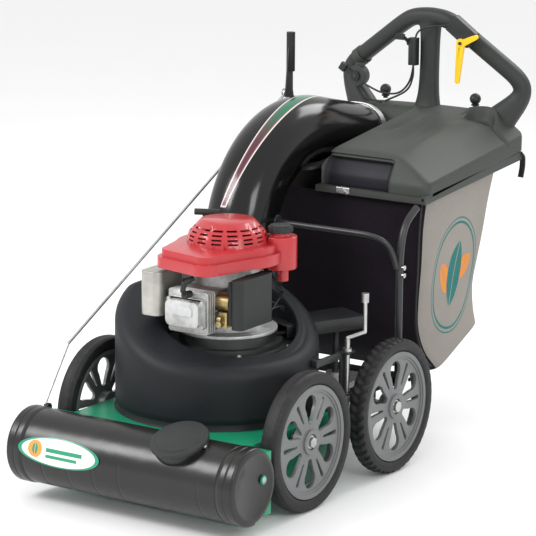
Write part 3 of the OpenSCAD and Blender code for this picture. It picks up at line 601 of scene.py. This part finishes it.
def makeApron():
    # a sloping plate with a rounded hole closes the space between the chute's mouth and the bag rails
    across, along = oval(120, 8.0)
    holeX, holeY = oval(120, 5.0)
    outer = np.stack([across, along], axis=-1) * apron["half"] + apron["centre"]
    inner = np.stack([holeX, holeY], axis=-1) * apron["holeHalf"] + apron["hole"]
    rows = []
    for plan, lift in ((outer, 17), (outer, 23), (outer * 0.98 + inner * 0.02, 25), (inner, 26), (inner, 16)):
        height = coverBase(plan[:, 1]) + lift
        rows.append(np.concatenate([plan, height[:, None]], axis=1))
    return closedUp(skin("chuteApron", placed(np.stack(rows)), around=True, along=True))


show(makeApron(), "chassis", "cover_plastic", materials["black_plastic"])
print("chute made")

# ---- bag ----
bag = {"half": 293.0, "power": 9.0, "wall": 2.0,
       "front": ((663, 722), (652, 640), (648, 540), (640, 430), (646, 350), (690, 270), (758, 206)),
       "rear": ((1122, 758), (1098, 690), (1068, 600), (1036, 510), (1012, 430), (1014, 360), (1022, 318)),
       "print": (855.0, 480.0, 118.0, 158.0), "threads": 3300.0}


def curveThrough(points, count):
    # a smooth line through points at even steps of their order, by piecewise cubic weights
    points = np.asarray(points, float)
    grown = np.concatenate([2 * points[:1] - points[1:2], points, 2 * points[-1:] - points[-2:-1]])
    place = np.linspace(0, len(points) - 1, count)
    index = np.minimum(place.astype(int), len(points) - 2)
    t = (place - index)[:, None]
    a, b, c, d = (grown[index + k] for k in range(4))
    return 0.5 * (2 * b + (c - a) * t + (2 * a - 5 * b + 4 * c - d) * t ** 2 + (3 * b - a - 3 * c + d) * t ** 3)


def fabricMaterial():
    # plain weave from two crossed sine waves; dark front and back, pale sides, and a ring and leaves on the left one
    shader = Shader("bagFabric")
    x, y, z = shader.axes()
    threads = bag["threads"]
    weave = (y * threads + x * threads).sine() * (z * threads).sine()
    cloud = shader.noise(5.0, 4.0, 0.6)
    lint = shader.noise(240.0, 3.0, 0.6)
    pale = shader.mix(cloud, (0.27, 0.25, 0.23), (0.36, 0.335, 0.305))
    pale = shader.mix(lint.step(0.5, 0.75) * 0.35, pale, (0.21, 0.195, 0.18))
    dark = shader.mix(cloud, (0.006, 0.004, 0.007), (0.014, 0.010, 0.016))
    centreY, centreZ, halfY, halfZ = bag["print"]
    v = (z - centreZ / 1000) / (halfZ / 1000)
    u = (y - (centreY / 1000 + frontAxleY)) / (halfY / 1000) - v * 0.22
    distance = reach(u, v)
    ring = distance.step(0.93, 0.945) * (1 - distance.step(0.975, 0.99))
    ring = ring.most(distance.step(1.03, 1.04) * (1 - distance.step(1.055, 1.065)))

    def leaf(tilt, shiftU, shiftV, size):
        # the space shared by two discs, tilted
        c, s = math.cos(tilt), math.sin(tilt)
        p = ((u - shiftU) * c + (v - shiftV) * s) / size
        q = ((v - shiftV) * c - (u - shiftU) * s) / size
        left, right = reach(p + 0.75, q), reach(p - 0.75, q)
        vein = 1 - abs(p).step(0.02, 0.035)
        return 1 - left.most(right).step(1.23, 1.25), vein

    big, vein = leaf(-0.25, 0.04, 0.02, 0.62)
    west, westVein = leaf(0.75, -0.40, -0.02, 0.40)
    east, eastVein = leaf(-1.1, 0.46, 0.10, 0.38)
    orange = (west * (1 - westVein)).most(east * (1 - eastVein)) * (1 - big)
    teal = (big * (1 - vein)).most(ring)
    worn = shader.noise(420.0, 2.0).step(0.25, 0.6) * 0.35 + 0.65
    side = shader.mix(orange * worn, pale, (0.78, 0.27, 0.04))
    side = shader.mix(teal * worn, side, (0.006, 0.17, 0.16))
    flank = shader.attribute("flank")
    left, right = flank.step(0.45, 0.55), (-flank).step(0.45, 0.55)
    colour = shader.mix(left, shader.mix(right, dark, pale), side)
    return shader.finish(colour, lint * 0.15 + 0.78, weave * 0.5 + lint * 1.5 + shader.noise(26.0, 4.0) * 5.0, 0.0006,
                         Specular_IOR_Level=0.15)


def makeBag():
    # squared ovals go down from the mouth, each tipped from its front height to its rear height, then close the floor
    rows, columns = 110, 220
    front, rear = curveThrough(bag["front"], rows), curveThrough(bag["rear"], rows)
    down = np.linspace(0, 1, rows)[:, None]
    across, back = oval(columns, bag["power"])
    share = (back[None] + 1) / 2
    y = front[:, :1] * (1 - share) + rear[:, :1] * share
    z = front[:, 1:] * (1 - share) + rear[:, 1:] * share
    x = across[None] * (bag["half"] - 5 * down ** 3)
    sideness = ramp(np.abs(across[None]), 0.9, 1.0)
    frontness = ramp(-back[None], 0.9, 1.0) * (1 - sideness)
    slack = np.sin(np.pi * np.clip(down * 1.04, 0, 1))
    folds = 4.5 * np.sin((y - 0.45 * z) / 34.0) * down ** 1.5 + 2.5 * np.sin((y + 0.8 * z) / 57.0 + 1.0)
    x = x + np.sign(across[None]) * sideness * slack * (folds - 7.0)
    vee = np.abs(x) * 0.9 + z
    draw = 4.5 * np.sin(vee / 26.0) * bump(down - 0.35, 0.3) + 3.0 * np.sin((x * 0.5 + z) / 38.0)
    y = y + frontness * slack * (draw + 4)
    grid = np.stack([x, y, z], axis=-1)
    pole = np.concatenate([[0], (front[-1] + rear[-1]) / 2 - [0, 2]])
    floor = [grid[-1] * (1 - s) + pole * s for s in (0.02, 0.15, 0.4, 0.7, 1.0)]
    panels = np.broadcast_to(np.sign(across[None]) * (sideness > 0.7), (rows, columns))
    panels = np.concatenate([panels, np.zeros((len(floor), columns))])
    obj = skin("leafBag", placed(np.concatenate([grid, np.stack(floor)])), around=True, values={"flank": panels})
    return thickened(closedUp(obj), bag["wall"])


show(makeBag(), "bag", "bag_fabric", fabricMaterial(), ("bag",), 60)


def makePiping():
    # a sewn cord follows the front edge of each side panel
    line = curveThrough(bag["front"], 60)[:56]
    parts = []
    for side in (1, -1):
        path = np.insert(line + [5.0, 0.0], 0, side * (bag["half"] - 6.5), axis=1)
        parts.append(tube("piping", path, (1, 0, 0), 2.6, None, 10))
    return joined("bagPiping", parts)


show(makePiping(), "bag", "bag_fabric", materials["belt_rubber"])
print("bag made")

# ---- cover ----
cover = {"centre": (100.0, 1150.0), "corner": 26.0, "wall": 5.0, "blend": 8.0, "front": 652.0, "side": 313.0,
         "inner": -55.0, "earFront": 1108.0, "rear": 1217.0, "recess": (-46.0, 176.0, 828.0), "recessDepth": 30.0,
         "cup": (215.0, 1115.0, 42.0, 26.0)}
# each fold: height, the point it passes, its lean, its width, and where along y it comes in and goes out
folds = ((8, (196, 700), -0.04, 24, (720, 840), (1060, 1000)),
         (-6, (120, 700), -0.10, 34, (760, 840), (1090, 1000)),
         (-7, (20, 900), 0.25, 16, (860, 920), (1110, 1050)))


def planEdge(count):
    # the outline seen from above: a big panel beside the chute, and an ear behind it, with rounded corners
    side, inner, front, rear = cover["side"], cover["inner"], cover["front"], cover["rear"]
    outline = [(side, 1000), (side, rear), (-side, rear), (-side, cover["earFront"]), (inner, cover["earFront"]),
               (inner, front), (side, front), (side, 1000)]
    line = turned([(*p, 0) for p in outline], cover["corner"], 12)[:, :2]
    length = runLength(line)
    at = np.linspace(0, length[-1], count, endpoint=False)
    return np.stack([np.interp(at, length, line[:, 0]), np.interp(at, length, line[:, 1])], axis=-1)


def lidTop(x, y):
    # the lowest of several planes, blended: crown, flanks, front, rear and the edge by the chute; then folds and cup
    lift = ramp(y, 700, 1178)
    crown = 848 + 64 * lift - 6 * ((x - 60) / 250) ** 2
    base = coverBase(y)
    left = base + 20 + (cover["side"] - x) * (0.52 + 0.46 * lift)
    right = base + 20 + (x + cover["side"]) * (0.52 + 0.22 * lift)
    front = base + 16 + (y - cover["front"]) * 1.5
    rear = base + 30 + (cover["rear"] - y) * 2.8
    near = base + 40 + np.maximum(x - cover["inner"], y - cover["earFront"]) * 1.8
    planes = np.stack([crown, left, right, front, rear, near])
    low = planes.min(axis=0)
    top = low - cover["blend"] * np.log(np.exp(-(planes - low) / cover["blend"]).sum(axis=0))
    for height, (atX, atY), lean, width, comes, goes in folds:
        top = top + height * bump(x - atX - (y - atY) * lean, width) * ramp(y, *comes) * ramp(y, *goes)
    cupX, cupY, cupR, cupDepth = cover["cup"]
    distance = np.hypot(x - cupX, y - cupY)
    cup = 4 * bump(distance - cupR - 6, 5) - cupDepth * sigmoid(cupR - distance, 2.4)
    groove = -10 * bump(y - cupY + 6, 7) * ramp(x - cupX, 32, 48)
    crest = 16 * bump(distance - cupR - 12, 12) * ramp(y - cupY, 0, 24)
    return top + cup + groove + crest * ramp(y, cover["rear"], cover["rear"] - 30)


def makeCover():
    # rings shrink from the outline to a pole; a skirt hangs from the outline and turns in to a thin underside
    edge, centre, wall = planEdge(380), np.array(cover["centre"]), cover["wall"]
    shares = np.concatenate([np.linspace(0, 0.88, 70), np.linspace(0.885, 1.0, 46)])[:, None, None]
    plan = centre + (edge - centre)[None] * shares
    x, y = plan[..., 0], plan[..., 1]
    z = lidTop(x, y)
    rim = ramp(shares[..., 0], 0.98, 1.0)
    z = z - 7 * (1 - np.sqrt(1 - rim ** 2))
    start, end, high = cover["recess"]
    sunk = sigmoid(x - start, 3.0) * sigmoid(end - x, 3.0) * sigmoid(high - z, 2.0) * ramp(y, 860, 800)
    lip = 3.5 * bump(z - high - 7, 6) * sigmoid(end - x, 3.0) * ramp(y, 800, 770)
    top = np.stack([x, y + cover["recessDepth"] * sunk - lip, z], axis=-1)
    last = top[-1]
    out = (edge - centre) / np.linalg.norm(edge - centre, axis=1, keepdims=True)
    base = coverBase(edge[:, 1])
    rows = []
    for inset, drop in ((0, 0.3), (0, 0.6), (0, 0.9), (1, 0.97), (wall - 1, 0.98), (wall, 0.9), (wall, 0.3)):
        height = last[:, 2] * (1 - drop) + (base - 25) * drop
        rows.append(np.concatenate([last[:, :2] - out * inset, height[:, None]], axis=1))
    under = top[::-1] - np.array([0, 0, wall + 4])
    grid = np.concatenate([top, np.stack(rows), under])
    dark = np.concatenate([sunk, np.repeat(sunk[-1:], len(rows), axis=0), sunk[::-1] * 0])
    return closedUp(skin("coverLid", placed(grid), around=True, values={"sunk": dark}))


def coverMaterial():
    # moulded grey-green, darker and bluer inside the front recess
    shader = Shader("coverShell")
    mottle, grain, dust = shader.noise(7.0, 4.0, 0.6), shader.noise(800.0, 2.0), shader.noise(60.0, 6.0, 0.7)
    colour = shader.mix(mottle, (0.036, 0.040, 0.035), (0.055, 0.060, 0.053))
    colour = shader.mix(dust.step(0.5, 0.8) * 0.22, colour, (0.11, 0.115, 0.10))
    colour = shader.mix(shader.attribute("sunk").step(0.4, 0.7), colour, (0.013, 0.012, 0.018))
    return shader.finish(colour, mottle * 0.12 + 0.46 + dust * 0.08, grain * 0.35 + shader.noise(14.0) * 2.0, 0.00025,
                         Specular_IOR_Level=0.28)


show(makeCover(), "chassis", "cover_plastic", coverMaterial(), ("cover",), 60)


def makeLatch():
    # a bright plate with a rounded tongue, hooked over the cross bar
    plate = tube("plate", [(18, 639.2, 735), (40, 639.2, 735), (62, 639.2, 735)], (0, 1, 0), 1.6, 9.0, 24, 5.0)
    tongue = tube("tongue", [(34, 638.4, 744), (44, 637.6, 735), (56, 638.4, 727)], (0, 1, 0), 1.8, 4.5, 20, 3.0)
    return joined("coverLatch", [plate, tongue])


show(makeLatch(), "chassis", "bright_steel")
strap = tube("railStrap", curveThrough([(309, 1196, 792), (310, 1211, 778), (310, 1213, 750), (309, 1205, 716)], 24),
             (1, 0, 0), 9.0, 3.0, 24, 5.0)
show(strap, "chassis", "black_plastic")
print("cover made")

# ---- handle ----
handle = {"grip": 26.0, "voxel": 3.6, "smooth": 14,
          "arch": ((226, 1186, 866), (256, 1202, 902), (290, 1220, 944), (302, 1223, 978), (286, 1214, 1012),
                   (96, 1188, 1150), (60, 1186, 1172), (0, 1186, 1179)),
          "column": ((0, 1172, 880), (0, 1180, 930), (0, 1184, 1010), (0, 1186, 1090), (0, 1187, 1172))}


def makeHandle():
    # one moulded shape: swept tubes are fused by a fine remesh and relaxed, which fills their corners
    half = np.array(handle["arch"], float)
    loop = np.concatenate([half, half[::-1][1:] * [-1, 1, 1]])
    path = turned(loop, 34, 10)
    grip = handle["grip"]
    foot = ramp(path[:, 2], 975, 875) ** 1.3
    parts = [tube("arch", path, (0, 1, 0), grip * (1 + 0.35 * foot), grip * (1 + 0.95 * foot), 28, 2.4)]
    column = curveThrough(handle["column"], 30)
    rise = (column[:, 2] - 880) / 292
    spread = 29 + 26 * np.exp(-rise / 0.12) + 12 * np.exp(-(1 - rise) / 0.1)
    parts.append(tube("column", column, (1, 0, 0), spread, 24 + 8 * np.exp(-rise / 0.12), 28, 2.6))
    obj = joined("handleLoop", parts)
    fuse = obj.modifiers.new("fuse", "REMESH")
    fuse.mode, fuse.voxel_size = "VOXEL", handle["voxel"] / 1000
    relax = obj.modifiers.new("relax", "SMOOTH")
    relax.factor, relax.iterations = 0.5, handle["smooth"]
    return applied(obj)


show(makeHandle(), "chassis", "handle_plastic", None, ("handle",), 180)
print("handle made")

# ---- bent tubes, rods and cables ----
bent = {
    "hoop": ([(-84, 485, 655), (222, 485, 655), (262, 492, 645), (284, 505, 622), (292, 526, 560)], 8.0, 34),
    "left": ([(296, 535, 220), (296, 535, 600), (296, 556, 680), (296, 622, 718)], 10.5, 60),
    "right": ([(-296, 575, 220), (-296, 575, 600), (-296, 584, 660), (-296, 628, 716)], 10.5, 50),
}


def bentTube(key, side):
    points, radius, bend = bent[key]
    return tube(key, turned(points, bend, 12), side, radius)


uprights = joined("uprightTubes", [bentTube("left", (1, 0, 0)), bentTube("right", (1, 0, 0))])
show(uprights, "chassis", "black_steel", None, ("frame_uprights",))
hoopFoot = lathed("hoopFoot", [(0, 0), (19, 0), (20, 1), (20, 5), (19, 6), (0, 6)], (-86, 485, 655), (1, 0, 0), 40)
hoop = joined("frameHoop", [bentTube("hoop", (0, 1, 0.3)), hoopFoot])
show(hoop, "chassis", "black_steel", None, ("frame_hoop",))

cables = {
    "drive": [(88, 1152, 1160), (30, 1142, 1152), (-8, 1140, 1140), (-22, 1134, 1112), (-24, 1130, 1040),
              (-40, 1132, 980), (-84, 1142, 942), (-150, 1154, 936), (-214, 1166, 952)],
    "choke": [(-38, 1152, 1031), (-40, 1152, 990), (-58, 1144, 950), (-112, 1112, 918)],
    "throttle": [(-238, 1166, 948), (-214, 1160, 920), (-180, 1140, 914), (-130, 1120, 912)],
    "engine": [(110, 160, 575), (96, 232, 555), (40, 320, 520), (-40, 400, 530), (-62, 470, 570),
               (-64, 545, 640)],
    "stop": [(100, 206, 540), (84, 260, 520), (30, 340, 502), (-48, 420, 516), (-68, 486, 576),
             (-71, 545, 634)],
}
cableParts = [tube(key, curveThrough(route, 60), (0.3, 0.9, 0.2), 3.0, None, 12) for key, route in cables.items()]
show(joined("cableRun", cableParts), "chassis", "black_plastic", None, ("control_cables",))
wires = [[(104, -20, 520), (130, 40, 512), (128, 120, 486), (96, 232, 505), (60, 286, 470)],
         [(104, -10, 508), (138, 60, 494), (140, 150, 502), (104, 240, 478), (66, 280, 458)],
         [(100, 0, 540), (122, 60, 536), (136, 130, 520), (120, 200, 486), (90, 262, 462)]]
wireParts = [tube("wire", curveThrough(route, 48), (0.2, 0.3, 0.9), 1.6, None, 10) for route in wires]
show(joined("engineWires", wireParts), "chassis", "black_plastic")
print("tubes and cables made")

# ---- nozzle ----
nozzle = {"y": -296.0, "z": 141.0, "radius": 102.0, "half": 368.0, "wall": 4.0, "collar": 46.0, "collarRise": 2.2,
          "from": -19.0, "to": 184.0, "seams": (-250.0, -165.0, -80.0, 5.0, 260.0), "pivot": (-258.0, 154.0),
          "portX": 164.0, "portTilt": 22.0}
portTilt = math.radians(nozzle["portTilt"])
portAxis = (0, -math.sin(portTilt), math.cos(portTilt))
portCentre = (nozzle["portX"], nozzle["y"], nozzle["z"])


def makeNozzleShell():
    # an arc of outer and inner points runs along the nozzle; collars and seams change its radius on the way
    x = np.linspace(-nozzle["half"], nozzle["half"], 340)
    angle = np.radians(np.linspace(nozzle["from"], nozzle["to"], 90))
    inner = angle[::-1]
    fromEnd = nozzle["half"] - np.abs(x)
    collar = nozzle["collarRise"] * sigmoid(nozzle["collar"] - fromEnd, 1.2)
    grooves = bump(fromEnd - 26, 1.3) + bump(fromEnd - 52, 1.3)
    lower = ramp(np.degrees(angle), 72, 82)
    seams = sum(bump(x - at, 2.0) for at in nozzle["seams"])
    tip = 7 * (1 - np.sqrt(1 - ramp(fromEnd, 7, 0) ** 2))
    outer = nozzle["radius"] + (collar - 1.3 * grooves - tip)[:, None] - 1.1 * seams[:, None] * lower[None]
    low = np.full((len(x), len(inner)), nozzle["radius"] - nozzle["wall"]) - tip[:, None]
    radius = np.concatenate([outer, low], axis=1)
    turn = np.concatenate([angle, inner])[None]
    grid = np.stack([np.broadcast_to(x[:, None], radius.shape), nozzle["y"] - radius * np.sin(turn),
                     nozzle["z"] + radius * np.cos(turn)], axis=-1)
    return closedUp(skin("shell", placed(grid), around=True, caps=True))


def makeNozzle():
    # the shell with its two ends and pivot pins, the port's neck and the pull rod's lugs
    parts = [makeNozzleShell()]
    r = nozzle["radius"]
    for side in (-1, 1):
        profile = [(0, 0), (r - 22, 0), (r - 20, 1.2), (r - 12, 1.2), (r - 9, 0.2), (r - 6, -0.6), (r - 3.5, -3.0),
                   (r - 2.5, -7), (r - 7, -9), (0, -9)]
        parts.append(lathed("end", profile, (side * nozzle["half"], nozzle["y"], nozzle["z"]), (side, 0, 0), 96))
    neck = [(44, 58), (58, 66), (68, 80), (73, 94), (74.5, 106), (74.5, 113.5), (64, 114), (58, 112),
            (50, 100), (47, 84), (40, 62), (44, 58)]
    parts.append(lathed("neck", neck, portCentre, portAxis, 80))
    for side in (-1, 1):
        hinge = [(0, 0), (12, 0), (12, 3), (8, 4), (0, 4)]
        parts.append(lathed("pin", hinge, (side * (nozzle["half"] + 0.5), *nozzle["pivot"]), (side, 0, 0), 32))
    for x in (-338.0, -334.0):
        lug = [(0, 0), (11, 0), (11.5, 0.6), (11.5, 3.4), (11, 4), (0, 4)]
        parts.append(lathed("lug", lug, (x, -255, 236), (1, 0, 0), 36))
    foot = np.array([(-336, -268, 226), (-336, -262, 230), (-336, -255, 238)], float)
    parts.append(tube("lugFoot", foot, (1, 0, 0), 5.0, 7.0, 16, 4.0))
    return joined("nozzleShell", parts)


show(makeNozzle(), "nozzle_door", "nozzle_plastic", None, ("nozzle_door",), 42)


# a thick lid with a raised disc and a rolled edge
lid = [(0, 123.5), (58, 123.5), (61, 122.6), (62.5, 120.6), (66, 120.2), (73, 120.0), (77, 118.6), (78.8, 115.6),
       (78.8, 108.4), (78, 107.2), (76.4, 107), (75.4, 108), (75.2, 113), (72, 114.6), (0, 114.6)]
show(lathed("portLid", lid, portCentre, portAxis, 112), "port_cap", "nozzle_plastic", materials["black_plastic"],
     ("port_cap",), 35)
boltHead = [(0, 4), (5, 3.8), (7.5, 3), (8.5, 1.5), (8.5, 0), (0, 0)]
bolts = [lathed("bolt", boltHead, (side * 373.4, *nozzle["pivot"]), (side, 0, 0), 32) for side in (-1, 1)]
show(joined("pivotBolts", bolts), "chassis", "bright_steel")
screwHead = [(0, 9), (3.6, 8.6), (5, 7.2), (5, 0), (0, 0)]
screw = lathed("portScrew", screwHead, (nozzle["portX"] + 74, -336, 240), (1, 0, 0), 24)
show(screw, "port_cap", "bright_steel")

# ---- badge ----
badge = {"centre": (-190.0, 78.0), "half": (135.0, 40.0), "lift": 3.2, "thick": 2.2}


def badgeMaterial():
    # white oval inside a green rim, an orange disc with a leaf at one end and two plain green bars
    shader = Shader("badgePrint")
    u, v = shader.attribute("badgeU"), shader.attribute("badgeV")
    rim = reach(u, v).step(0.90, 0.915)
    wide, tall = badge["half"]
    x, y = u * wide, v * tall

    def bar(x0, x1, y0, y1):
        return x.step(x0, x0 + 1) * (1 - x.step(x1, x1 + 1)) * y.step(y0, y0 + 1) * (1 - y.step(y1, y1 + 1))

    p, q = x + 78, y - 2
    disc = 1 - reach(p, q).step(23, 24)
    leaf = 1 - reach(p + 13, q).most(reach(p - 13, q)).step(22, 23)
    vein = 1 - abs(p).step(0.8, 1.6)
    bars = bar(-42, 78, -2, 9).most(bar(-42, 62, -18, -9))
    colour = shader.mix(disc, (0.86, 0.86, 0.84), (0.85, 0.30, 0.04))
    colour = shader.mix(leaf * (1 - vein), colour, (0.01, 0.25, 0.16))
    colour = shader.mix(bars.most(rim), colour, (0.012, 0.27, 0.14))
    wear = shader.noise(160.0, 4.0)
    return shader.finish(colour, wear * 0.15 + 0.28, wear, 0.00008, Coat_Weight=0.2)


def makeBadge():
    # rings of an oval, wrapped on the nozzle's cylinder; v runs up the arc
    ring = np.linspace(0, 1, 14)[:, None]
    turn = np.linspace(0, 2 * np.pi, 96, endpoint=False)[None]
    u, v = ring * np.cos(turn), ring * np.sin(turn)
    radius = nozzle["radius"] + badge["lift"]
    angle = np.radians(badge["centre"][1]) - v * badge["half"][1] / radius
    grid = np.stack([badge["centre"][0] + u * badge["half"][0], nozzle["y"] - radius * np.sin(angle),
                     nozzle["z"] + radius * np.cos(angle)], axis=-1)
    obj = skin("nozzleBadge", placed(grid), around=True, values={"badgeU": u, "badgeV": v})
    return thickened(closedUp(obj), badge["thick"])


show(makeBadge(), "nozzle_door", "nozzle_plastic", badgeMaterial())
print("nozzle made")

# ---- softened CAD pieces ----
edges = {"deck": 2.0, "shroud": 13.0, "recoil_cover": 1.6, "fuel_tank": 4.0, "muffler": 15.0, "air_cleaner": 7.0,
         "valve_cover": 3.5, "cylinder_head": 1.2, "engine_block": 1.2, "carburettor": 1.5, "fuel_cap": 2.0,
         "starter_grip": 2.5, "control_box": 3.0, "throttle_clamp": 2.5, "throttle_lever": 1.8, "choke_lever": 1.5,
         "drive_lever": 2.2, "lever_grip": 4.0, "gearbox": 4.0, "rear_frame": 1.0, "belt_guard": 1.5,
         "bag_rails": 1.2, "housing_top_plate": 2.0, "front_wheel_nuts": 1.0, "housing_screws": 0.6,
         "door_lever": 1.0, "front_axle": 1.5}
for node, edge in edges.items():
    softened(node, edge, 5 if edge > 6 else 3, dullSilver if node == "muffler" else None)
print("edges rounded")

# ---- floor and light ----
studio = {"floor": (0.90, 0.90, 0.90), "world": 0.97, "lights": (
    ((-2.6, -3.4, 3.6), 1.8, 150.0), ((3.8, -2.2, 2.6), 1.6, 60.0), ((0.6, 3.2, 3.4), 1.8, 70.0))}


def makeStudio():
    shader = Shader("studioFloor")
    tone = shader.noise(1.5, 2.0)
    material = shader.finish(shader.mix(tone, studio["floor"], [c * 1.02 for c in studio["floor"]]), tone * 0.1 + 0.6)
    mesh = bpy.data.meshes.new("floor")
    mesh.from_pydata([(-30, -30, 0), (30, -30, 0), (30, 30, 0), (-30, 30, 0)], [], [(0, 1, 2, 3)])
    mesh.materials.append(material)
    linked("floor", mesh)
    world = bpy.data.worlds.new("studioWorld")
    bpy.context.scene.world = world
    world.use_nodes = True
    world.node_tree.nodes["Background"].inputs["Color"].default_value = (1, 1, 1, 1)
    world.node_tree.nodes["Background"].inputs["Strength"].default_value = studio["world"]
    for index, (place, size, power) in enumerate(studio["lights"]):
        data = bpy.data.lights.new(f"softLight{index}", "AREA")
        data.size, data.energy = size, power
        light = linked(f"softLight{index}", data)
        light.location = place
        light.rotation_euler = (Vector((0, 0, 0.5)) - Vector(place)).to_track_quat("-Z", "Y").to_euler()


makeStudio()
bpy.context.scene.view_settings.view_transform = "Standard"
print("studio made")
